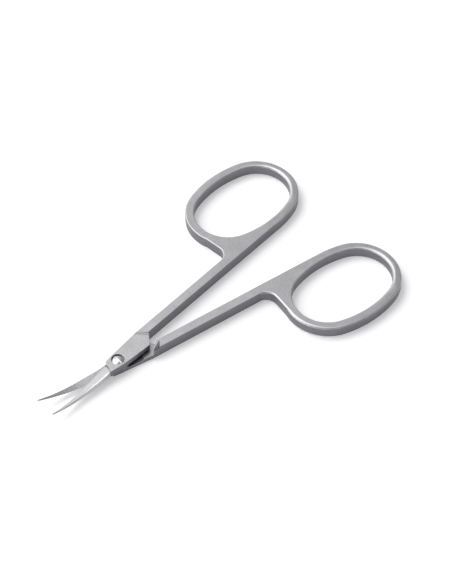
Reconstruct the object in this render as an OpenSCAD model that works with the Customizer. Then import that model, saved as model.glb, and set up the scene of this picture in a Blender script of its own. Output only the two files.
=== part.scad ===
// Cuticle scissors: two steel halves that cross in a lap joint on one countersunk screw.
// The origin is on the joint's axis, level with the flat underside.
// +X runs towards the finger rings, +Y towards the upper half's ring, and +Z up.
// Each half is drawn closed, lying along the centre line, and is then turned open.

/* [Overall] */
// Thickness of the rings, the shanks and the joint
thickness = 3.4; // [3:0.1:3.6]
// How far each half is turned open from closed, in degrees
open_angle = 6.85; // [0:0.05:20]
// Gap between the faces that slide on each other
slide_gap = 0.05; // [0.02:0.01:0.1]
// Height of the sliding faces as a share of the thickness
parting_share = 0.42; // [0.4:0.01:0.5]

/* [Shanks] */
// Width of a shank seen from above
shank_width = 2.4; // [2:0.1:3]
// Distance from the centre line to a shank's inner side when closed
shank_inset = 0.25; // [0.2:0.05:0.5]
// Radius of the rounded edges of the shanks
shank_round = 0.15; // [0.1:0.05:0.5]

/* [Finger rings] */
// Distance from the joint's axis to the middle of a ring's opening
ring_reach = 61.2; // [54:0.2:70]
// Half the length of the opening
opening_half_length = 14.4; // [13.4:0.1:16]
// Half the height of the opening
opening_half_height = 9.8; // [9.3:0.1:11]
// Radius of the opening's two ends
opening_end_radius = 9; // [8:0.1:9.2]
// Width of the band round the opening
ring_band = 2.4; // [1.8:0.1:2.6]
// Radius of the band's rounded edges along its sides
ring_round = 0.4; // [0.3:0.05:0.5]
// Radius of the band's rounded edges at the far end, where a fingertip presses
ring_far_round = 0.8; // [0.5:0.05:1]
// Radius of the upper ring's outer edge next to the neck
upper_near_round = 0.25; // [0.2:0.05:0.5]
// Radius of the lower ring's outer edge next to the neck
lower_near_round = 0.8; // [0.4:0.05:0.9]
// Distance from the centre line to the ring when closed
ring_inset = 0.1; // [0.05:0.05:0.2]
// How far the opening's long axis leans towards the centre line, in degrees
ring_lean = 4.2; // [2:0.1:6]
// Radius of the inner corner between shank and ring
neck_fillet = 3.2; // [2.4:0.1:4]
// Radius of the rounded edge round the upper half's inner corner
upper_neck_round = 0.3; // [0.2:0.05:0.45]
// Radius of the rounded edge round the lower half's inner corner
lower_neck_round = 0.5; // [0.3:0.05:0.5]

/* [Joint plates] */
// Width of a plate on its shank's side of the axis
plate_outer = 2.05; // [1.95:0.05:2.4]
// Width of a plate on the other side of the axis
plate_inner = 2.15; // [1.95:0.05:2.5]
// Width of a plate at its heel, on the other side of the axis
heel_width = 2.8; // [2.4:0.05:3]
// Distance from the axis to the heel's corner
heel_reach = 8.72; // [8:0.1:9.4]
// Distance from the axis to where the heel's end meets the centre line
heel_end = 11.45; // [11:0.1:12.4]
// Gap between a heel's end and the other half's shoulder when closed
heel_gap = 0.18; // [0.1:0.02:0.4]
// Depth of the hollow in the upper half's sliding face
upper_hollow = 0.3; // [0.05:0.05:0.5]
// Depth of the hollow in the lower half's sliding face
lower_hollow = 0.35; // [0.05:0.05:0.5]
// Radius of the flat boss round the axis
boss_radius = 2.6; // [2.3:0.1:3]
// Radius at which the upper half's hollow ends and the ride behind it starts
upper_ride = 9.6; // [7:0.1:10.4]
// Radius at which the lower half's hollow ends and the ride behind it starts
lower_ride = 6.6; // [5:0.1:10.4]
// Depth of the two fine lines across the upper half
line_depth = 0.1; // [0.05:0.01:0.2]
// Distance between the two fine lines
line_spacing = 0.75; // [0.5:0.05:1]
// Depth of the filed notch at the lower half's outer side
notch_depth = 1.1; // [0.6:0.1:1.3]
// Angle of each wall of the notch from upright
notch_splay = 40; // [30:1:45]

/* [Blades] */
// Distance from the axis to the tips
blade_length = 23.4; // [21:0.2:26]
// Distance from the axis to where the blades start to curve up
bend_start = 11.2; // [9:0.2:14]
// Radius of the upward curve
bend_radius = 34; // [28:1:60]
// Spine's distance from the centre line at the root
spine_root = 1.32; // [1.1:0.02:1.5]
// Spine's distance from the centre line at the tip
spine_tip = 0.3; // [0.2:0.02:0.4]
// How far the spine bulges between root and tip
spine_bulge = 0.09; // [0:0.01:0.2]
// Cutting edge's distance from the centre line at the root
edge_root = 2.15; // [1.9:0.05:2.4]
// Cutting edge's distance past the centre line at the tip
edge_tip = 0.02; // [0:0.01:0.06]
// How hollow the cutting edge's line is, 1 for straight
edge_hollow = 1.25; // [1:0.05:1.5]
// Thickness that the ground faces take off the plate along the spine at the root
spine_cut = 0.1; // [0.06:0.02:0.6]
// Thickness of the spine at the tip
spine_thick_tip = 0.36; // [0.25:0.01:0.5]
// How fast the spine thins, 1 for evenly
spine_taper = 2; // [1:0.25:3]
// Thickness of the cutting edge
edge_thick = 0.12; // [0.08:0.01:0.2]
// Width of the small bevel along the spine
spine_bevel = 0.12; // [0.06:0.01:0.15]
// Length of the scooped shoulder between plate and blade
scoop_length = 0.4; // [0.3:0.1:1.2]
// Distance from the axis to the scoop's edge, on the spine's side
scoop_spine = 4.2; // [3.8:0.1:4.8]
// Distance from the axis to the scoop's edge, on the cutting side
scoop_edge = 2.6; // [2.4:0.1:3.2]
// How far the scoop's edge bows towards the axis between its ends
scoop_bow = 0.25; // [0:0.05:0.4]

/* [Screw] */
// Radius of the screw's shaft
screw_radius = 1; // [0.8:0.05:1.1]
// Play round the shaft in the upper half
screw_play = 0.04; // [0.02:0.01:0.08]
// Radius of the head
head_radius = 1.5; // [1.35:0.05:1.55]
// Gap round the head
head_gap = 0.2; // [0.1:0.02:0.25]
// Height of the head's straight rim
head_rim = 0.4; // [0.3:0.05:0.5]
// Height of the head's cone
head_cone = 0.4; // [0.3:0.05:0.5]
// Height of the head's dome
head_dome = 0.4; // [0.2:0.02:0.42]
// Width of the slot
slot_width = 0.34; // [0.25:0.02:0.45]
// Depth of the slot
slot_depth = 0.35; // [0.2:0.05:0.45]

/* [Hidden] */
$fn = 48;

// Heights of the two sliding faces
parting = thickness * parting_share;
upper_face = parting + slide_gap / 2;
lower_face = parting - slide_gap / 2;
function plate_thick(side) = side > 0 ? thickness - upper_face : lower_face;

// Shank and ring, seen from above
shank_outer = shank_inset + shank_width;
side_radius = (pow(opening_half_length - opening_end_radius, 2) + pow(opening_half_height, 2)
    - pow(opening_end_radius, 2)) / (2 * (opening_half_height - opening_end_radius));
end_shift = opening_half_length - opening_end_radius;
side_shift = side_radius - opening_half_height;
arc_meet = atan2(side_shift, end_shift);
ring_low = side_radius + ring_band - side_shift * cos(ring_lean);
ring_y = ring_inset + ring_low;
near_end = [ring_reach - end_shift * cos(ring_lean), ring_y + end_shift * sin(ring_lean)];
inner_side = [ring_reach + side_shift * sin(ring_lean), ring_y + side_shift * cos(ring_lean)];
end_outer = opening_end_radius + ring_band;
// The shank runs out inside the ring's band: first at full width, then as a narrow foot
shank_back = 6.9;
foot_back = 1.8;
foot_lap = 4;
foot_width = 1.35;
shank_end = inner_side[0] - shank_back;
foot_end = inner_side[0] - foot_back;

// The neck between shank and ring. Its rounded strips end inside the band and the fill.
neck_inset = 0.28;
neck_width = 2;
upright_width = 1.6;
upright_sink = 1;
fill_clear = 0.55;
fill_low = shank_outer - 1.1;
fill_start = 1.8;
fill_lap = 0.5;
fill_chamfer = 0.35;
fill_fillet_angles = [-50, -20];
fill_band_angles = [186 : 12 : 246];
neck_x = near_end[0] - end_outer + neck_inset;
neck_centre = [neck_x - neck_fillet, shank_outer + neck_fillet];

// Plates
// How far the outline draws in at the blade's end, at its middle and before the shank
blade_end_draw = 0.3;
spine_end_draw = 0.08;
rear_draw = [1, 0.15];
heel_share = 0.55;
// Shares across the blade at which the plate's end follows the bowed scoop
bow_shares = [0.25, 0.5, 0.75];
shoulder_x = heel_end + heel_gap;
shoulder_slope = (heel_end - heel_reach) / heel_width;
far = 40;
over = 1;
plate_rear = heel_end - shoulder_slope * shank_outer;

// Blades: sections along them, and how far the cutting edge tucks in at the root
blade_sections = 18;
root_sections = 8;
heel_tuck = 0.38;
tuck_share = 0.14;
// Share of the width that the broad ground face takes, and the thickness left at its end
face_end = 0.72;
face_drop = 0.5;
// How far the first section reaches into the plate, and how far it is drawn in there
root_depth = 0.8;
root_draw = 0.06;

// A point at share u of the way from a to b
function mix(a, b, u) = a + (b - a) * u;

// How far the sliding surface has risen at radius r from the axis
function rise(r) = r < bend_start ? 0
    : bend_radius - sqrt(pow(bend_radius, 2) - pow(r - bend_start, 2));

// Spine and cutting edge at share u of the way from root to tip
function spine_y(u) = -(mix(spine_root, spine_tip, u) + 4 * spine_bulge * u * (1 - u));
function edge_y(u) = edge_tip + (edge_root - edge_tip) * pow(1 - u, edge_hollow)
    - heel_tuck * pow(max(0, 1 - u / tuck_share), 2);

// Plan point at share u along the blade and share w across it, spine to edge
function plan(u, w) = [
    -mix(mix(scoop_spine, scoop_edge, w) - 4 * scoop_bow * w * (1 - w), blade_length, u),
    mix(spine_y(u), edge_y(u), w)
];

// Thickness of the blade's ground section there
function ground(u, w, side) = let (
    t = mix(spine_thick_tip, plate_thick(side) - spine_cut, pow(1 - u, spine_taper)),
    lip = spine_bevel / (edge_y(u) - spine_y(u)))
    w < lip ? t - spine_bevel * (1 - w / lip)
    : w < face_end ? mix(t, t * face_drop, (w - lip) / (face_end - lip))
    : mix(t * face_drop, edge_thick, (w - face_end) / (1 - face_end));

// Share of the plate's full thickness that the scoop leaves at distance v from its edge
function scoop(v) = v >= scoop_length ? 0 : 1 - sqrt(1 - pow(1 - v / scoop_length, 2));

function blade_thick(u, w, side) = let (v = u * (blade_length - scoop_spine))
    mix(ground(u, w, side), plate_thick(side), scoop(v));

// Shares along the blade: close together in the scoop, then even
root_share = scoop_length / (blade_length - scoop_spine);
function share(i) = i < root_sections
    ? root_share * pow(i / root_sections, 2)
    : mix(root_share, 1, (i - root_sections) / blade_sections);

// Shares across the blade, from spine to cutting edge
across = [0, 0.12, 0.4, face_end, 0.86, 1];
ring_count = 2 * len(across);
section_count = root_sections + blade_sections + 1;

// One section: the sliding face from spine to edge, then the ground face back
function blade_section(u, side) = let (face = side > 0 ? upper_face : lower_face) [
    for (w = across) let (p = plan(u, w)) [p[0], p[1], face + rise(norm(p))],
    for (i = [len(across) - 1 : -1 : 0]) let (w = across[i], p = plan(u, w))
        [p[0], p[1], face + rise(norm(p)) + side * blade_thick(u, w, side)]
];

// The first section lies inside the plate, drawn in on every side
function root_section(side) = let (mid = parting + side * plate_thick(side) / 2) [
    for (p = blade_section(0, side)) [
        p[0] + root_depth,
        p[1] * (1 - root_draw),
        mix(p[2], mid, root_draw)
    ]
];

module blade(side) {
    points = concat(root_section(side),
        [for (i = [0 : section_count - 1]) each blade_section(share(i), side)]);
    rows = section_count + 1;
    function at(i, j) = i * ring_count + j % ring_count;
    walls = [
        for (i = [0 : rows - 2], j = [0 : ring_count - 1]) each [
            [at(i, j), at(i, j + 1), at(i + 1, j + 1)],
            [at(i, j), at(i + 1, j + 1), at(i + 1, j)]
        ]
    ];
    last = ring_count - 1;
    caps = [
        for (k = [0 : len(across) - 2]) each [
            [at(0, last - k), at(0, last - k - 1), at(0, k + 1)],
            [at(0, last - k), at(0, k + 1), at(0, k)],
            [at(rows - 1, k), at(rows - 1, k + 1), at(rows - 1, last - k - 1)],
            [at(rows - 1, k), at(rows - 1, last - k - 1), at(rows - 1, last - k)]
        ]
    ];
    faces = concat(walls, caps);
    turned = [for (f = faces) [f[2], f[1], f[0]]];
    polyhedron(points, side > 0 ? faces : turned);
}

// Rectangle with four rounded corners, or with only the two at x = 0
module bar_section(w, h, r, both = true) {
    translate([r, 0]) square([both ? w - 2 * r : w - r, h]);
    translate([0, r]) square([w, h - 2 * r]);
    for (x = both ? [r, w - r] : [r], y = [r, h - r]) translate([x, y]) circle(r);
}

module straight_bar(from, to, inner, w, both) {
    translate([from, inner, 0]) rotate([90, 0, 90]) linear_extrude(to - from)
        bar_section(w, thickness, shank_round, both);
}

// Middle of the arc that the band follows where its outward side faces angle a
function arc_centre(a) = abs(cos(a)) >= cos(arc_meet)
    ? [sign(cos(a)) * end_shift, 0]
    : [0, -sign(sin(a)) * side_shift];
function arc_radius(a) = abs(cos(a)) >= cos(arc_meet) ? opening_end_radius : side_radius;

// A point of the band's section: d outwards from the opening, z up
function band_at(a, d, z) = let (p = arc_centre(a) + (arc_radius(a) + d) * [cos(a), sin(a)])
    [p[0], p[1], z];

// Share, 1 at direction mid and 0 beyond half_span on both sides of it
function bump(a, mid, half_span) = let (off = abs((a - mid + 540) % 360 - 180))
    off >= half_span ? 0 : pow(cos(90 * off / half_span), 2);

// Radii of the band's inner and outer edges in direction a
far_mid = 5;
far_span = 105;
near_mid = 165;
near_span = 75;
function inner_round(a) = mix(ring_round, ring_far_round, bump(a, far_mid, far_span));
function outer_round(a, near_round) = inner_round(a)
    + (near_round - ring_round) * bump(a, near_mid, near_span);

// The band's section in direction a, as [distance outwards, height]
corner_steps = 4;
function band_section(a, near_round) = let (
    i = inner_round(a),
    o = outer_round(a, near_round),
    corners = [
        [i, i, i, 180],
        [ring_band - o, o, o, 270],
        [ring_band - o, thickness - o, o, 0],
        [i, thickness - i, i, 90]
    ])
    [for (c = corners, k = [0 : corner_steps]) let (t = c[3] + 90 * k / corner_steps)
        [c[0] + c[2] * cos(t), c[1] + c[2] * sin(t)]];

// Directions round the band: even steps along each of its four arcs
end_steps = 24;
side_steps = 12;
side_sweep = 180 - 2 * arc_meet;
// Keeps the first step of a side off the end arc that it meets
meet_skip = 0.001;
band_angles = [
    for (i = [0 : end_steps - 1]) -arc_meet + 2 * arc_meet * i / end_steps,
    for (i = [0 : side_steps - 1]) arc_meet + meet_skip + side_sweep * i / side_steps,
    for (i = [0 : end_steps - 1]) 180 - arc_meet + 2 * arc_meet * i / end_steps,
    for (i = [0 : side_steps - 1]) 180 + arc_meet + meet_skip + side_sweep * i / side_steps
];

// The band round a finger opening: four arcs that meet tangentially
module ring(near_round) {
    count = 4 * (corner_steps + 1);
    rows = len(band_angles);
    function at(i, j) = (i % rows) * count + j % count;
    points = [for (a = band_angles, c = band_section(a, near_round)) band_at(a, c[0], c[1])];
    faces = [
        for (i = [0 : rows - 1], j = [0 : count - 1]) each [
            [at(i, j), at(i + 1, j + 1), at(i + 1, j)],
            [at(i, j), at(i, j + 1), at(i + 1, j + 1)]
        ]
    ];
    translate([ring_reach, ring_y, 0]) rotate(-ring_lean) polyhedron(points, faces);
}

// A point in the middle of the ring's band, on the end arc next to the shank
function band_point(a) = near_end + (opening_end_radius + ring_band / 2) * [cos(a), sin(a)];

// The neck between shank and ring: a filleted corner, a short upright and the fill
module neck(edge_round) {
    translate([neck_centre[0], neck_centre[1], 0]) rotate(-90) rotate_extrude(angle = 90)
        translate([neck_fillet, 0]) bar_section(neck_width, thickness, edge_round, false);
    upright_top = near_end[1] - upright_sink;
    translate([neck_x, upright_top, 0]) rotate([90, 0, 0])
        linear_extrude(upright_top - neck_centre[1])
            bar_section(upright_width, thickness, edge_round, false);
    linear_extrude(thickness) polygon(concat(
        [for (a = fill_band_angles) band_point(a)],
        [
            [shank_end - fill_lap, fill_low + fill_chamfer],
            [shank_end - fill_lap, fill_low],
            [neck_centre[0] + fill_start, fill_low]
        ],
        [for (a = fill_fillet_angles)
            neck_centre + (neck_fillet + fill_clear) * [cos(a), sin(a)]],
        [[neck_x + fill_clear, neck_centre[1]]]));
}

// Full outline of the joint plate, from the scoop's edge to the shoulder
module plate_outline() {
    polygon(concat([for (w = bow_shares) plan(0, w)], [
        [-scoop_edge, plate_outer - blade_end_draw],
        [0, plate_outer],
        [plate_rear - rear_draw[0], shank_outer - rear_draw[1]],
        [plate_rear, shank_outer],
        [heel_end - shoulder_slope * shank_inset, shank_inset],
        [heel_end, 0],
        [heel_reach, -heel_width],
        [heel_reach / 2, -mix(plate_inner, heel_width, heel_share)],
        [0, -plate_inner],
        [-scoop_spine, -spine_root - spine_end_draw]
    ]));
}

// Everything on the axis's side of the shoulder
module lap_zone() {
    polygon([
        [-far, -far],
        [shoulder_x + over, -far],
        [shoulder_x, 0],
        [shoulder_x - shoulder_slope * (shank_outer + over), shank_outer + over],
        [shoulder_x - shoulder_slope * (shank_outer + over), far],
        [-far, far]
    ]);
}

// The hollow between boss and ride, on the rings' side of the axis
module hollow(depth, ride_radius) {
    intersection() {
        rotate_extrude() translate([boss_radius, 0])
            square([ride_radius - boss_radius, depth + over]);
        translate([0, -far / 2, 0]) cube([far, far, far]);
    }
}

// A half, closed, with its shank on the +Y side, before its joint is cut
module blank(near_round, neck_round) {
    linear_extrude(thickness) plate_outline();
    straight_bar(plate_rear, shank_end, shank_inset, shank_width, true);
    straight_bar(shank_end - foot_lap, foot_end, shank_inset, foot_width, false);
    neck(neck_round);
    ring(near_round);
}

// The cuts across the top run along the shoulder. The notch starts just behind it.
line_angle = atan2(-1, shoulder_slope);
notch_start = [0.55, 0.3];

// A V cut across the top, in line with the shoulder
module fine_line(x) {
    translate([x, 0, thickness]) rotate([0, 0, line_angle]) rotate([45, 0, 0])
        cube([far, line_depth * sqrt(2), line_depth * sqrt(2)], center = true);
}

// A filed V that runs out towards the inner side and deepens outwards
module notch() {
    run = shank_width / sin(-line_angle) + over;
    fall = atan2(notch_depth, run);
    rise_up = notch_depth + over;
    half_width = rise_up * tan(notch_splay);
    translate([shoulder_x + notch_start[0], shank_inset + notch_start[1], thickness])
        rotate([0, 0, line_angle + 180]) rotate([0, fall, 0]) rotate([90, 0, 90])
            linear_extrude(run + over)
                polygon([[0, 0], [half_width, rise_up], [-half_width, rise_up]]);
}

module upper_closed() {
    difference() {
        blank(upper_near_round, upper_neck_round);
        translate([0, 0, -over]) linear_extrude(upper_face + over) lap_zone();
        translate([0, 0, upper_face - over]) hollow(upper_hollow, upper_ride);
        translate([0, 0, -over]) cylinder(r = screw_radius + screw_play, h = thickness + 2 * over);
        translate([0, 0, thickness - head_rim - head_cone - head_seat])
            cylinder(r1 = screw_radius + screw_play, r2 = head_radius + head_gap, h = head_cone);
        translate([0, 0, thickness - head_rim - head_seat])
            cylinder(r = head_radius + head_gap, h = head_rim + over);
        fine_line(heel_end);
        fine_line(heel_end - line_spacing);
    }
    blade(1);
}

module lower_closed() {
    difference() {
        blank(lower_near_round, lower_neck_round);
        translate([0, 0, lower_face]) linear_extrude(thickness) lap_zone();
        translate([0, 0, lower_face - lower_hollow]) hollow(lower_hollow, lower_ride);
        translate([0, 0, -over]) cylinder(r = screw_radius, h = thickness + 2 * over);
        notch();
    }
    blade(-1);
}

// The head clears its seat by a little, and its dome stands just proud of the plate
head_seat = 0.05;
head_proud = 0.06;
head_top = thickness + head_proud;
dome_radius = (pow(head_radius, 2) + pow(head_dome, 2)) / (2 * head_dome);

module upper_half() {
    color("gainsboro") rotate(open_angle) upper_closed();
}

module lower_half() {
    color("silver") rotate(-open_angle) mirror([0, 1, 0]) lower_closed();
}

module pivot_screw() {
    rim_low = thickness - head_rim;
    color("whitesmoke") difference() {
        union() {
            cylinder(r = screw_radius, h = rim_low);
            translate([0, 0, rim_low - head_cone])
                cylinder(r1 = screw_radius, r2 = head_radius, h = head_cone);
            intersection() {
                translate([0, 0, rim_low]) cylinder(r = head_radius, h = head_rim + over);
                translate([0, 0, head_top - dome_radius]) sphere(dome_radius);
            }
        }
        translate([0, 0, head_top]) cube([slot_width, far, 2 * slot_depth], center = true);
    }
}

upper_half();
lower_half();
pivot_screw();
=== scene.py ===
import bpy
from math import radians, sin, cos, hypot, pi
from mathutils import Matrix, Vector


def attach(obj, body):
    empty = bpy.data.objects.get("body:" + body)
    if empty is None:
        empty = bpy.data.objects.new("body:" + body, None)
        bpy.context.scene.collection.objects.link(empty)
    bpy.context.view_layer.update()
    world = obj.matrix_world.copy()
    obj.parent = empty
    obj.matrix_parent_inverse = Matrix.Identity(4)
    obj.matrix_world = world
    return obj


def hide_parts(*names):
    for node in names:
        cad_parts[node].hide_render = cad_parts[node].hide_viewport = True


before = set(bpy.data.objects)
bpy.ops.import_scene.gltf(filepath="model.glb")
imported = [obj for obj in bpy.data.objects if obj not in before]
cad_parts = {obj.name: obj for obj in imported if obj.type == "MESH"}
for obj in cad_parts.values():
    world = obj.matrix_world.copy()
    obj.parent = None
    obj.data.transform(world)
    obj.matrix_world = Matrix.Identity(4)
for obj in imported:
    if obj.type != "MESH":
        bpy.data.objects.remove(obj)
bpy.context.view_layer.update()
print("frame loaded")

cameraView = {
    "target": (0.034979, -0.001462, 0.0034),
    "azimuth": 41.387,  # degrees clockwise from +Y, seen from above
    "elevation": 50.11,
    "distance": 0.52835,
    "lens": 126.04,
    "sensor": 36,
    "nearest": 0.01,
    "farthest": 20,
}

studio = {
    "roomColor": (0.60, 0.60, 0.61),
    # name: direction (to the left, to the back, up), where it fades out and is full, colour
    "panels": {
        "darkFront": ((-0.25, -0.95, 0.25), 0.20, 0.75, (0.26, 0.26, 0.27)),
        "darkRight": ((-0.80, 0.45, 0.25), 0.60, 0.90, (0.26, 0.26, 0.27)),
        "lowWindow": ((0.55, 0.80, 0.22), 0.80, 0.97, (1.30, 1.30, 1.31)),
        "sideWindow": ((1.0, -0.15, 0.28), 0.82, 0.95, (1.60, 1.60, 1.61)),
        "leftSoftbox": ((0.63, 0.02, 0.78), 0.86, 0.97, (1.90, 1.90, 1.92)),
    },
    # name: direction, distance, size, watts
    "lamps": {
        "keyLamp": ((0.40, 0.30, 1.0), 1.5, 1.0, 7.5),
    },
}


# One socket of a node tree, so that material maths reads as plain expressions
class Wire:
    def __init__(self, tree, socket=None):
        self.tree = tree
        self.socket = socket

    # Adds any node: its type, its settings, and the values or wires of its sockets
    def node(self, kind, settings=None, values=None, out=0):
        made = self.tree.nodes.new("ShaderNode" + kind)
        for name, value in (settings or {}).items():
            setattr(made, name, value)
        for name, value in (values or {}).items():
            self.plug(made.inputs[name], value)
        return Wire(self.tree, made.outputs[out])

    def plug(self, socket, value):
        if isinstance(value, Wire):
            self.tree.links.new(value.socket, socket)
        elif socket.type == "RGBA":
            socket.default_value = (*value, 1)
        else:
            socket.default_value = value

    def math(self, operation, first, second):
        return self.node("Math", {"operation": operation}, {0: first, 1: second})

    def __add__(self, other):
        return self.math("ADD", self, other)

    def __sub__(self, other):
        return self.math("SUBTRACT", self, other)

    def __rsub__(self, other):
        return self.math("SUBTRACT", other, self)

    def __mul__(self, other):
        return self.math("MULTIPLY", self, other)

    __radd__ = __add__
    __rmul__ = __mul__

    # 0 below low, 1 above high, and smooth between them
    def ramp(self, low, high):
        return self.node("MapRange", {"interpolation_type": "SMOOTHSTEP"}, {
            "Value": self, "From Min": low, "From Max": high})

    # The colour first where this wire is 0, second where it is 1
    def blend(self, first, second):
        sockets = {0: self, 6: first, 7: second}  # 6 and 7 take the colours, and output 2 gives one
        return self.node("Mix", {"data_type": "RGBA"}, sockets, out=2)


def lookDirections():
    turn = radians(cameraView["azimuth"])
    left = Vector((-cos(turn), sin(turn), 0))
    back = Vector((sin(turn), cos(turn), 0))
    return left, back, Vector((0, 0, 1))


def aimed(direction):
    parts = (axis * part for axis, part in zip(lookDirections(), direction))
    return sum(parts, Vector()).normalized()


def makeCamera():
    tilt = radians(cameraView["elevation"])
    forward = aimed((0, cos(tilt), -sin(tilt)))
    lens = bpy.data.cameras.new("photoCamera")
    lens.lens = cameraView["lens"]
    lens.sensor_width = cameraView["sensor"]
    lens.clip_start = cameraView["nearest"]
    lens.clip_end = cameraView["farthest"]
    camera = bpy.data.objects.new("photoCamera", lens)
    bpy.context.scene.collection.objects.link(camera)
    camera.location = Vector(cameraView["target"]) - forward * cameraView["distance"]
    camera.rotation_euler = (radians(90) - tilt, 0, -radians(cameraView["azimuth"]))
    bpy.context.scene.camera = camera


def makeLamps():
    target = Vector(cameraView["target"])
    for name, (direction, distance, size, watts) in studio["lamps"].items():
        glow = bpy.data.lights.new(name, "AREA")
        glow.shape = "DISK"
        glow.size = size
        glow.energy = watts
        lamp = bpy.data.objects.new(name, glow)
        bpy.context.scene.collection.objects.link(lamp)
        lamp.location = target + aimed(direction) * distance
        lamp.rotation_euler = aimed(direction).to_track_quat("Z", "Y").to_euler()


def makeRoom():
    world = bpy.data.worlds.new("softRoom")
    world.use_nodes = True
    bpy.context.scene.world = world
    bench = Wire(world.node_tree)
    way = bench.node("TexCoord")
    color = studio["roomColor"]
    for direction, low, high, panelColor in studio["panels"].values():
        facing = {0: way, 1: aimed(direction)}
        towards = bench.node("VectorMath", {"operation": "DOT_PRODUCT"}, facing, out="Value")
        color = towards.ramp(low, high).blend(color, panelColor)
    bench.plug(world.node_tree.nodes["Background"].inputs["Color"], color)


paper = {
    "size": 6,
    "height": -0.00005,
    "color": (0.90, 0.90, 0.905),
    "rough": 0.9,
    "shine": 0.1,
    "glow": 0.28,  # lifts the paper to white, but only where a ray looks straight at it
}


def makePaper():
    mat = bpy.data.materials.new("palePaper")
    mat.use_nodes = True
    shader = mat.node_tree.nodes["Principled BSDF"]
    shader.inputs["Base Color"].default_value = (*paper["color"], 1)
    shader.inputs["Roughness"].default_value = paper["rough"]
    shader.inputs["Specular IOR Level"].default_value = paper["shine"]
    shader.inputs["Emission Strength"].default_value = paper["glow"]
    bench = Wire(mat.node_tree)
    seen = bench.node("LightPath", out="Is Camera Ray") + bench.node("LightPath", out="Is Glossy Ray") \
        + bench.node("LightPath", out="Is Transmission Ray")
    bench.plug(shader.inputs["Emission Color"], seen.blend((0, 0, 0), (1, 1, 1)))
    return mat


def makeFloor():
    deselectAll()
    bpy.ops.mesh.primitive_plane_add(size=paper["size"], location=(0, 0, paper["height"]))
    floor = bpy.context.object
    floor.name = "paperFloor"
    floor.data.materials.append(makePaper())


def deselectAll():
    if bpy.context.object and bpy.context.object.mode != "OBJECT":
        bpy.ops.object.mode_set(mode="OBJECT")
    bpy.ops.object.select_all(action="DESELECT")


steel = {
    # grain is how far the roughness varies; along and across are the grain's cells per metre
    "groundTop": {
        "color": (0.50, 0.495, 0.51), "rough": 0.38, "grain": 0.10, "along": 1500, "across": 2600},
    # Darker steel for the upright sides, the scooped shoulder and one notch wall: painted shade, not a
    # finish of their own
    "paintedShadeSide": {
        "color": (0.20, 0.195, 0.21), "rough": 0.42, "grain": 0.10, "along": 1400, "across": 1800},
    # Lighter steel for the rounded edges: a painted highlight, with a rougher finish of their own
    "paintedHighlightEdge": {
        "color": (0.58, 0.575, 0.59), "rough": 0.50, "grain": 0.10, "along": 1500, "across": 1500},
    # Darker steel for the filed lines and the notch: painted shade in the cuts, with a smoother filed
    # finish of their own
    "paintedShadeCut": {
        "color": (0.40, 0.40, 0.41), "rough": 0.12, "grain": 0.04, "along": 900, "across": 900},
    "lapFace": {
        "color": (0.48, 0.475, 0.485), "rough": 0.28, "grain": 0.05, "along": 5000, "across": 900},
    "groundBlade": {
        "color": (0.54, 0.54, 0.545), "rough": 0.32, "grain": 0.05, "along": 6000, "across": 1200},
    "polishedScrew": {
        "color": (0.68, 0.68, 0.69), "rough": 0.27, "grain": 0.04, "along": 900, "across": 900},
}

wear = {
    "grainDetail": 3.0,
    "cloudCells": 260.0,  # per metre
    "cloudDetail": 4.0,
    "grainShare": 0.6,  # of the colour's variation; the cloud has the rest
    "cloudShare": 0.4,
    "darkest": 0.32,  # values of the mixed noise where the colour is darkest and lightest
    "lightest": 0.68,
    "darker": 0.90,
    "lighter": 1.08,
    "cloudRough": 0.05,
    "bumpStrength": 0.08,
    "bumpDepth": 0.00001,
}


def makeSteel(name):
    finish = steel[name]
    mat = bpy.data.materials.new(name)
    mat.use_nodes = True
    shader = mat.node_tree.nodes["Principled BSDF"]
    shader.inputs["Metallic"].default_value = 1
    bench = Wire(mat.node_tree)
    place = bench.node("TexCoord", out="Object")
    grainPlace = bench.node("Mapping", values={
        "Vector": place, "Scale": (finish["along"], finish["across"], finish["across"])})
    grain = bench.node("TexNoise", values={
        "Vector": grainPlace, "Scale": 1.0, "Detail": wear["grainDetail"]})
    cloud = bench.node("TexNoise", values={
        "Vector": place, "Scale": wear["cloudCells"], "Detail": wear["cloudDetail"]})
    worn = (grain * wear["grainShare"] + cloud * wear["cloudShare"]).ramp(wear["darkest"], wear["lightest"])
    lighter = tuple(min(1, part * wear["lighter"]) for part in finish["color"])
    darker = tuple(part * wear["darker"] for part in finish["color"])
    bench.plug(shader.inputs["Base Color"], worn.blend(darker, lighter))
    rough = finish["rough"] + (grain - 0.5) * finish["grain"] + (cloud - 0.5) * wear["cloudRough"]
    bench.plug(shader.inputs["Roughness"], rough)
    bump = bench.node("Bump", values={
        "Strength": wear["bumpStrength"], "Distance": wear["bumpDepth"], "Height": grain})
    bench.plug(shader.inputs["Normal"], bump)
    return mat


# Lengths here are in millimetres, because the meshes are cleaned at that scale
cleanup = {
    "workScale": 1000,
    "mergeDistance": 0.00002,  # corners closer than this become one
    "sliverWidth": 0.00002,  # edges shorter than this are dropped
    "flatAngle": 0.3,  # degrees between faces that become one
    "edgeBreak": 0.04,
    "edgeSegments": 2,
    "edgeAngle": 35,
    "shortEdge": 0.09,  # corners with an edge shorter than this stay sharp
    "thinFace": 0.005,  # and so do those of a face narrower than this
    "smoothAngle": 40,
    "flatArea": 1,  # a face larger than this shades flat, and so does every level one
    "roundReach": 62,  # beyond this distance from the axis the rings' tops shade as round bars
}


# Corners that end a tiny edge or belong to a thin face
def crowdedCorners(mesh):
    corners = [vertex.co for vertex in mesh.vertices]
    crowded = set()
    for face in mesh.polygons:
        longest = max((corners[first] - corners[second]).length for first, second in face.edge_keys)
        if face.area < longest * cleanup["thinFace"]:
            crowded.update(face.vertices)
    for edge in mesh.edges:
        first, second = edge.vertices
        if (corners[first] - corners[second]).length < cleanup["shortEdge"]:
            crowded.update((first, second))
    return crowded


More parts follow.
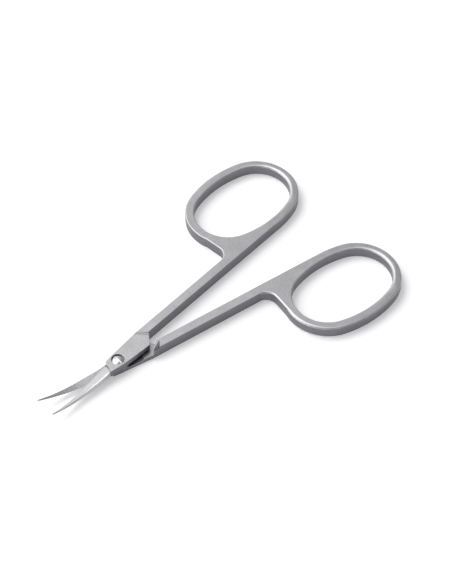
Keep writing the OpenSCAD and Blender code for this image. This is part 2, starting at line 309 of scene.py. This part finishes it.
# Weights the sharp edges for the bevel, apart from those at crowded corners
def markSharpEdges(mesh):
    crowded = crowdedCorners(mesh)
    sides = {}
    for face in mesh.polygons:
        for key in face.edge_keys:
            sides.setdefault(key, []).append(face.normal)
    weight = mesh.attributes.new("bevel_weight_edge", "FLOAT", "EDGE")
    for edge in mesh.edges:
        meeting = sides.get(edge.key, [])
        sharp = len(meeting) == 2 and meeting[0].angle(meeting[1], 0) > radians(cleanup["edgeAngle"])
        weight.data[edge.index].value = 1 if sharp and not crowded.intersection(edge.vertices) else 0


def breakEdges(piece):
    markSharpEdges(piece.data)
    edges = piece.modifiers.new("brokenEdges", "BEVEL")
    edges.width = cleanup["edgeBreak"]
    edges.segments = cleanup["edgeSegments"]
    edges.limit_method = "WEIGHT"
    edges.use_clamp_overlap = False
    bpy.ops.object.modifier_apply(modifier=edges.name)


def joinFaces():
    bpy.ops.object.mode_set(mode="EDIT")
    bpy.ops.mesh.select_all(action="SELECT")
    bpy.ops.mesh.remove_doubles(threshold=cleanup["mergeDistance"])
    bpy.ops.mesh.dissolve_limited(angle_limit=radians(cleanup["flatAngle"]))
    bpy.ops.object.mode_set(mode="OBJECT")


def dropSlivers():
    bpy.ops.object.mode_set(mode="EDIT")
    bpy.ops.mesh.select_all(action="SELECT")
    bpy.ops.mesh.dissolve_degenerate(threshold=cleanup["sliverWidth"])
    bpy.ops.mesh.select_all(action="SELECT")
    bpy.ops.mesh.delete_loose(use_verts=True, use_edges=True, use_faces=False)
    bpy.ops.object.mode_set(mode="OBJECT")


# The normals of the large and the level faces at each corner
def flatNormals(mesh):
    bladeRoot = regions["bladeRoot"] * cleanup["workScale"]
    flats = {}
    for face in mesh.polygons:
        large = face.area > cleanup["flatArea"] and face.center.x > bladeRoot
        if large or abs(face.normal.z) > regions["plateUp"]:
            for corner in face.vertices:
                if mesh.vertices[corner].co.length < cleanup["roundReach"]:
                    flats.setdefault(corner, []).append(face.normal.copy())
    return flats


# Flats shade flat up to their edges, and so does a rounding's first row beside them
def keepFlats(mesh):
    flats = flatNormals(mesh)
    normals = [corner.vector.copy() for corner in mesh.corner_normals]
    for face in mesh.polygons:
        for loop in face.loop_indices:
            for normal in flats.get(mesh.loops[loop].vertex_index, []):
                if normal.angle(face.normal, pi) < radians(cleanup["smoothAngle"]):
                    normals[loop] = normal
    mesh.normals_split_custom_set(normals)


# A solid's shape as one clean mesh, with its sharp edges just broken
def cleanCopy(nodeName, pieceName):
    deselectAll()
    piece = bpy.data.objects.new(pieceName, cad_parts[nodeName].data.copy())
    bpy.context.scene.collection.objects.link(piece)
    piece.data.materials.clear()
    piece.data.transform(Matrix.Scale(cleanup["workScale"], 4))
    piece.select_set(True)
    bpy.context.view_layer.objects.active = piece
    bpy.ops.mesh.customdata_custom_splitnormals_clear()
    joinFaces()
    breakEdges(piece)
    dropSlivers()
    bpy.ops.object.shade_smooth_by_angle(angle=radians(cleanup["smoothAngle"]))
    keepFlats(piece.data)
    piece.data.transform(Matrix.Scale(1 / cleanup["workScale"], 4))
    return piece


# Which steel a face gets: a finish of its own, a darker copy as painted shade, or a lighter copy as a
# painted highlight. Lengths are in metres; how level a face is runs from 0, upright, to 1.
regions = {
    "flatUp": 0.995,  # a ground flat is more level than this
    "plateUp": 0.9999,  # beside the blades, only the plate itself is as level as this
    "edgeUp": 0.35,  # a rounded edge lies between this and a flat, and a side below it
    "lapUp": 0.9,  # the joint's sliding faces and hollows are more level than this
    "lapBottom": 0.0009,  # and lie between these heights
    "lapTop": 0.0019,
    "lapReach": 0.0119,  # within this distance of the axis
    "bladeRoot": -0.0026,  # the blades start at this x and point towards -x
    "bladeUp": 0.5,  # a blade's broad faces are more level than this, and its sides less
    "scoopLow": 0.20,  # the scooped shoulder lies between these and near the axis
    "scoopUp": 0.70,
    "scoopEnd": 0.0054,
    "cutStart": 0.0085,  # the filed lines and the notch lie between these x
    "cutEnd": 0.0175,
    "cutBottom": 0.0022,  # above this height
    "cutUp": 0.80,  # and are less level than this
}


def inCut(center, level):
    return regions["cutStart"] < center.x < regions["cutEnd"] and center.z > regions["cutBottom"] \
        and regions["edgeUp"] < level < regions["cutUp"]


def inLap(center, level, reach):
    return level > regions["lapUp"] and reach < regions["lapReach"] \
        and regions["lapBottom"] < center.z < regions["lapTop"]


# slides tells whether the face looks the way of this half's sliding face
def bladeFinish(level, reach, slides):
    # The scooped shoulder takes the darker steel as painted shade
    if reach < regions["scoopEnd"] and regions["scoopLow"] < level < regions["scoopUp"]:
        return "paintedShadeSide"
    return "lapFace" if level > regions["bladeUp"] and slides else "groundBlade"


# slideUp tells whether this half's sliding face looks up
def finishOf(center, normal, slideUp):
    level = abs(normal.z)
    reach = hypot(center.x, center.y)
    if center.x < regions["bladeRoot"] and level < regions["plateUp"]:
        return bladeFinish(level, reach, (normal.z > 0) == slideUp)
    if inCut(center, level):
        # Both notch walls are darker than the tops as painted shade, and the wall facing the rings is
        # darkest
        return "paintedShadeSide" if normal.x > 0 else "paintedShadeCut"
    if inLap(center, level, reach):
        return "lapFace"
    if level > regions["flatUp"]:
        return "groundTop"
    # Upright sides take the darker steel as painted shade, and rounded edges the lighter steel as a painted
    # highlight
    return "paintedHighlightEdge" if level > regions["edgeUp"] else "paintedShadeSide"


def paintHalf(piece, slideUp):
    names = [name for name in steel if name != "polishedScrew"]
    for name in names:
        piece.data.materials.append(finishes[name])
    for face in piece.data.polygons:
        face.material_index = names.index(finishOf(face.center, face.normal, slideUp))


def makeHalf(nodeName, pieceName, body, slideUp):
    piece = cleanCopy(nodeName, pieceName)
    paintHalf(piece, slideUp)
    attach(piece, body)
    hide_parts(nodeName)
    print(pieceName, "made,", len(piece.data.polygons), "faces")


def makeUpperHalf():
    makeHalf("upper_half", "upperHalf", "upper", False)


def makeLowerHalf():
    makeHalf("lower_half", "lowerHalf", "lower", True)


def makeScrew():
    piece = cleanCopy("pivot_screw", "pivotScrew")
    piece.data.materials.append(finishes["polishedScrew"])
    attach(piece, "lower")
    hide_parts("pivot_screw")
    print("screw made")


bpy.context.scene.view_settings.view_transform = "Standard"
makeCamera()
makeLamps()
makeRoom()
makeFloor()
print("camera and studio made")
finishes = {name: makeSteel(name) for name in steel}
print("finishes made")
makeUpperHalf()
makeLowerHalf()
makeScrew()
